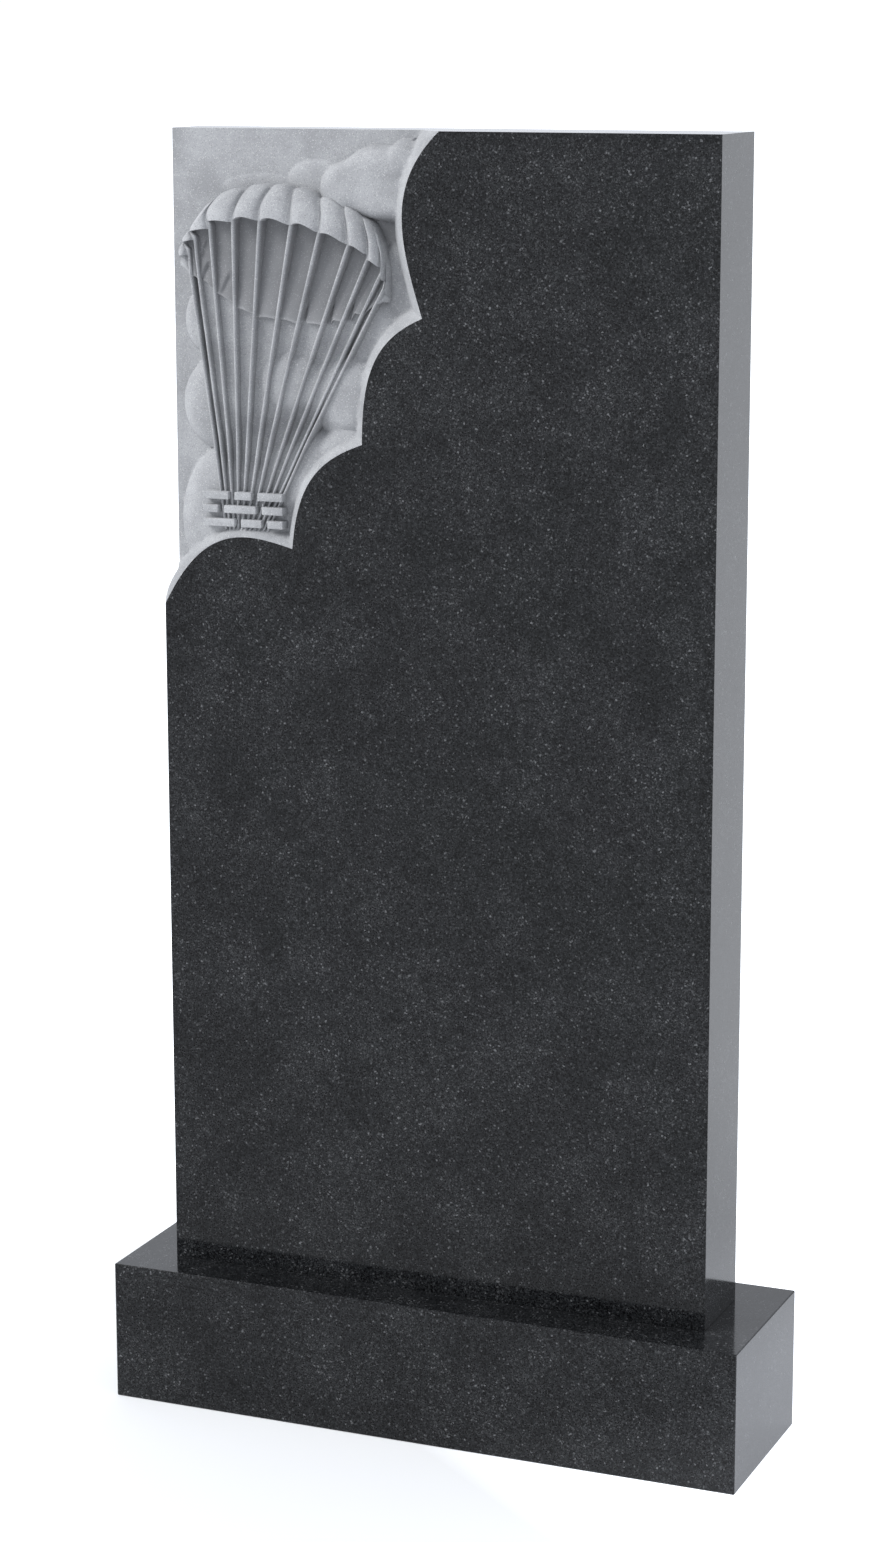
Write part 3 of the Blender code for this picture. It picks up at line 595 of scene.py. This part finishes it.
def strokeBars():
    # each stroke is a box from its top depth to its root, and the boxes are rounded by a bevel
    half = strokes["height"] / 2
    nearY, farY = front + strokes["topDepth"], front + strokes["rootDepth"]
    boxes = [(start, end, z) for z, runs in strokes["rows"] for start, end in runs]
    lows = np.array([(start, nearY, z - half) for start, end, z in boxes])
    highs = np.array([(end, farY, z + half) for start, end, z in boxes])
    corners = np.array([(sx, sy, sz) for sz in (0, 1) for sy in (0, 1) for sx in (0, 1)])
    points = lows[:, None] + (highs - lows)[:, None] * corners
    box = np.array([(0, 1, 5, 4), (1, 3, 7, 5), (3, 2, 6, 7), (2, 0, 4, 6), (4, 5, 7, 6), (0, 2, 3, 1)])
    faces = box + len(corners) * np.arange(len(boxes))[:, None, None]
    mesh = bpy.data.meshes.new("strokes")
    mesh.from_pydata(points.reshape(-1, 3).tolist(), [], faces.reshape(-1, 4).tolist())
    mesh.polygons.foreach_set("use_smooth", np.ones(len(mesh.polygons), bool))
    bars = addObject("strokes", mesh)
    rounding = bars.modifiers.new("rounding", "BEVEL")
    rounding.width = strokes["round"]
    rounding.segments = strokes["roundSteps"]
    return bars


class Wire:
    # One output of a shader's nodes. Powers of wires, and sums, differences and products, also with a plain
    # number on either side, add Math nodes; every other node comes from node().
    def __init__(self, tree, socket=None):
        self.tree, self.socket = tree, socket

    def node(self, kind, settings, values, output=0):
        # a new node with its settings, then the values or links of its sockets, as a wire from its output
        made = self.tree.nodes.new(kind)
        for name, value in settings.items():
            setattr(made, name, value)
        for name, value in values.items():
            if isinstance(value, Wire):
                self.tree.links.new(value.socket, made.inputs[name])
            else:
                made.inputs[name].default_value = value
        return Wire(self.tree, made.outputs[output])

    def math(self, operation, *values):
        return self.node("ShaderNodeMath", {"operation": operation}, dict(enumerate(values)))

    def __add__(self, other):
        return self.math("ADD", self, other)

    def __sub__(self, other):
        return self.math("SUBTRACT", self, other)

    def __rsub__(self, other):
        return self.math("SUBTRACT", other, self)

    def __mul__(self, other):
        return self.math("MULTIPLY", self, other)

    def __pow__(self, other):
        return self.math("POWER", self, other)

    __radd__ = __add__
    __rmul__ = __mul__

    def band(self, low, high):
        # 0 below low, 1 above high, and a straight rise between
        return self.node("ShaderNodeMapRange", {"clamp": True},
                         {"Value": self, "From Min": low, "From Max": high})

    def mix(self, first, second):
        # From the first colour to the second as this wire goes from 0 to 1. The node has sockets for each
        # type of value: the colours are its inputs 6 and 7, and its output 2.
        first, second = [color if isinstance(color, Wire) else (*color, 1) for color in (first, second)]
        return self.node("ShaderNodeMix", {"data_type": "RGBA"}, {0: self, 6: first, 7: second}, 2)

    def noise(self, scale, detail):
        return self.node("ShaderNodeTexNoise", {}, {"Vector": self, "Scale": scale, "Detail": detail}, "Fac")

    def grains(self, scale):
        # a random colour for each grain, so many grains to the metre
        return self.node("ShaderNodeTexVoronoi", {}, {"Vector": self, "Scale": scale}, "Color")

    def channel(self, name):
        return self.node("ShaderNodeSeparateColor", {}, {"Color": self}, name)

    def axis(self, name):
        return self.node("ShaderNodeSeparateXYZ", {}, {"Vector": self}, name)


def newMaterial(name):
    # a material with its shader, and a wire with the place on the piece in metres
    made = bpy.data.materials.new(name)
    made.use_nodes = True
    place = Wire(made.node_tree).node("ShaderNodeTexCoord", {}, {}, "Object")
    return made, made.node_tree.nodes["Principled BSDF"], place


def feed(shader, wires):
    # links each wire to the shader's socket of that name
    for name, wire in wires.items():
        wire.tree.links.new(wire.socket, shader.inputs[name])


polished = {
    "darkGrain": (0.0012, 0.0013, 0.0015),
    "paleGrain": (0.0146, 0.0157, 0.0171),
    "fleck": (0.115, 0.118, 0.122),
    "hazeNoise": (14.0, 5.0),  # scale, detail
    "clusterNoise": (70.0, 3.0),
    "hazeBand": (0.35, 0.65),
    "clusterBand": (0.35, 0.70),
    "clusterShare": 0.4,  # of the crowding, the rest is the haze's
    "grains": 620.0,  # to the metre
    "paleness": (0.28, 0.14),  # what crowding adds to a grain's paleness, and what is taken off
    "dustGrains": 1000.0,
    "dust": (0.25, (0.85, 1.25), 0.40),  # what crowding adds, the band that shows, and how strongly
    "sparks": (0.06, (0.955, 1.03)),
    "sparkTones": (0.15, 0.9),  # how strong the weakest spark is, and how much stronger the strongest
    "roughness": 0.10,
    "fleckRoughness": 0.15,
    "ior": 1.28,
}


def polishedGabbro():
    # Near-black stone, each grain a little paler or darker, with fine dust and larger sparks. Grains are
    # paler, and dust and sparks more frequent, where a slow haze and smaller clusters crowd them.
    made, shader, place = newMaterial("polishedGabbro")
    haze = place.noise(*polished["hazeNoise"]).band(*polished["hazeBand"])
    cluster = place.noise(*polished["clusterNoise"]).band(*polished["clusterBand"])
    crowd = cluster * polished["clusterShare"] + haze * (1 - polished["clusterShare"])
    large = place.grains(polished["grains"])
    pick, tone = large.channel("Red"), large.channel("Green")
    dustPick = place.grains(polished["dustGrains"]).channel("Red")
    crowding, band, strength = polished["dust"]
    dust = (dustPick + crowd * crowding).band(*band) * strength
    crowding, band = polished["sparks"]
    weakest, more = polished["sparkTones"]
    sparks = (pick + crowd * crowding).band(*band) * (weakest + tone ** 2 * more)
    flecks = dust + sparks
    crowding, less = polished["paleness"]
    ground = (pick + crowd * crowding - less).mix(polished["darkGrain"], polished["paleGrain"])
    rough = polished["roughness"] + flecks * polished["fleckRoughness"]
    feed(shader, {"Base Color": flecks.mix(ground, polished["fleck"]), "Roughness": rough})
    shader.inputs["IOR"].default_value = polished["ior"]
    return made


carved = {
    "grey": (0.284, 0.290, 0.301),
    "pale": (0.372, 0.379, 0.391),
    "deep": (0.120, 0.122, 0.128),  # the painted shade's colour, where it is 1
    "spark": (0.60, 0.60, 0.60),
    "pit": (0.20, 0.20, 0.205),
    "slowNoise": (30.0, 5.0),  # scale, detail
    "slowBand": (0.35, 0.65),
    "fineNoise": (900.0, 2.0),
    "grains": 1300.0,  # to the metre
    "sparkBand": (0.88, 1.0),
    "sparkStrength": (0.65, 0.6),  # and how much of it full painted shade takes
    "pitBand": (0.80, 0.97),
    "pitStrength": 0.70,
    "toothShare": 0.6,  # of the bump's height, the rest is the grains'
    "bump": {"Strength": 0.35, "Distance": 0.4 * mm},
    "roughness": 0.85,
    "ior": 1.5,
}


def carvedGabbro():
    # The cut stone: grey to pale over a slow noise, darker by its painted shade, bruised white or pitted at
    # some grains, with fine tooth from the tool.
    made, shader, place = newMaterial("carvedGabbro")
    slow, fine = place.noise(*carved["slowNoise"]), place.noise(*carved["fineNoise"])
    grains = place.grains(carved["grains"])
    pick, dark = grains.channel("Red"), grains.channel("Blue")
    paintedShade = place.node("ShaderNodeAttribute", {"attribute_name": "paintedShade"}, {}, "Fac")
    ground = slow.band(*carved["slowBand"]).mix(carved["grey"], carved["pale"])
    # painted shade darkens the cut stone towards the deep colour
    ground = paintedShade.mix(ground, carved["deep"])
    strength, less = carved["sparkStrength"]
    sparks = pick.band(*carved["sparkBand"]) * (strength - paintedShade * less)
    pits = dark.band(*carved["pitBand"]) * carved["pitStrength"]
    color = pits.mix(sparks.mix(ground, carved["spark"]), carved["pit"])
    height = fine * carved["toothShare"] + pick * (1 - carved["toothShare"])
    bump = place.node("ShaderNodeBump", {}, {**carved["bump"], "Height": height}, "Normal")
    feed(shader, {"Base Color": color, "Normal": bump})
    shader.inputs["Roughness"].default_value = carved["roughness"]
    shader.inputs["IOR"].default_value = carved["ior"]
    return made


# Camera, floor and light. A band on the floor is in metres, and one in the sky is a part of the unit
# vector that points there.
studio = {
    "cameraPlace": (1.3566, -3.2837, 1.4536),
    "cameraForward": (-0.3768, 0.9027, -0.2076),
    "cameraRight": (0.9230, 0.3849, -0.0016),
    "lens": 82.28,
    "sensor": 36.0,
    "floorSize": 600.0,
    "floor": (0.87, 0.88, 0.89),
    "floorRoughness": 0.9,
    "glow": (1.12, 0.50),  # how much the floor lights up close behind, and farther off
    "glowBands": ((-0.1, 0.2), (0.6, 1.1)),  # where the first comes in, and where it turns into the second
    "glowSlant": 0.8,  # how much sooner they come on the right
    "tint": (0.945, 0.98, 1.055),
    "horizon": 0.45,
    "zenith": 0.78,
    "skyBand": (0.1, 1.0),
    "rim": 0.65,  # what the sky's lowest part adds
    "rimBand": (0.02, 0.38),
    "softbox": 0.62,  # how much brighter the sky is behind, about 15 to 30 degrees up
    "softboxBands": ((0.4, 0.8), (0.16, 0.30), (0.42, 0.60)),  # to the back, its lower and its upper edge
    "lamp": {"place": (-3.4, -2.3, 4.1), "aim": (-0.2, 0.0, 1.0), "spread": 34.0, "power": 3.2},
}


def addCamera():
    # a camera at its place, turned by the matrix of its right, up and backward ways
    data = bpy.data.cameras.new("camera")
    data.sensor_fit = "VERTICAL"
    data.sensor_height = studio["sensor"]
    data.sensor_width = studio["sensor"]
    data.lens = studio["lens"]
    camera = addObject("camera", data)
    forward = Vector(studio["cameraForward"]).normalized()
    sideways = Vector(studio["cameraRight"]).normalized()
    turn = Matrix((sideways, sideways.cross(forward), -forward)).transposed()
    camera.matrix_world = Matrix.Translation(studio["cameraPlace"]) @ turn.to_4x4()
    bpy.context.scene.camera = camera


def addFloor():
    # a pale square that also gives light of its own behind the object
    half = studio["floorSize"] / 2
    corners = [(-half, -half, 0), (half, -half, 0), (half, half, 0), (-half, half, 0)]
    mesh = bpy.data.meshes.new("floor")
    mesh.from_pydata(corners, [], [(0, 1, 2, 3)])
    floor = addObject("floor", mesh)
    made, shader, place = newMaterial("floor")
    shader.inputs["Base Color"].default_value = (*studio["floor"], 1)
    shader.inputs["Roughness"].default_value = studio["floorRoughness"]
    shader.inputs["Specular IOR Level"].default_value = 0.0
    shader.inputs["Emission Color"].default_value = (*studio["tint"], 1)
    way = place.axis("Y") + place.axis("X") * studio["glowSlant"]
    near, far = studio["glow"]
    nearBand, farBand = studio["glowBands"]
    feed(shader, {"Emission Strength": way.band(*nearBand) * near + way.band(*farBand) * (far - near)})
    mesh.materials.append(made)


def addLamp():
    # a soft sun that looks from its place to its aim
    lamp = studio["lamp"]
    data = bpy.data.lights.new("lamp", "SUN")
    data.angle = np.radians(lamp["spread"])
    data.energy = lamp["power"]
    sun = addObject("lamp", data)
    sun.location = lamp["place"]
    aim = Vector(lamp["aim"]) - Vector(lamp["place"])
    sun.rotation_euler = aim.to_track_quat("-Z", "Y").to_euler()


def addSky():
    # a dome that grows brighter upwards, plus a bright rim low down and a softbox behind
    world = bpy.data.worlds.new("studio")
    world.use_nodes = True
    bpy.context.scene.world = world
    way = Wire(world.node_tree).node("ShaderNodeTexCoord", {}, {}, "Generated")
    height, behind = way.axis("Z"), way.axis("Y")
    dome = studio["horizon"] + height.band(*studio["skyBand"]) * (studio["zenith"] - studio["horizon"])
    rim = (1 - height.band(*studio["rimBand"])) * studio["rim"]
    backBand, lowBand, highBand = studio["softboxBands"]
    softbox = behind.band(*backBand) * height.band(*lowBand) * (1 - height.band(*highBand))
    background = world.node_tree.nodes["Background"]
    background.inputs["Color"].default_value = (*studio["tint"], 1)
    feed(background, {"Strength": dome + rim + softbox * studio["softbox"]})


bpy.context.scene.view_settings.view_transform = "Standard"  # the colours as they are, with no film curve
addCamera()
addFloor()
addLamp()
addSky()
print("studio set up")

gabbro = polishedGabbro()
cutGabbro = carvedGabbro()
print("materials made")

slab = carvedStele()
slab.data.materials.append(gabbro)
slab.data.materials.append(cutGabbro)
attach(slab, "root")
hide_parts("stele")
print("stele carved:", len(slab.data.polygons), "faces")

bars = strokeBars()
bars.data.materials.append(cutGabbro)
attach(bars, "root")
print("strokes cut")

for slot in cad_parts["plinth"].material_slots:
    slot.material = gabbro
print("plinth polished")
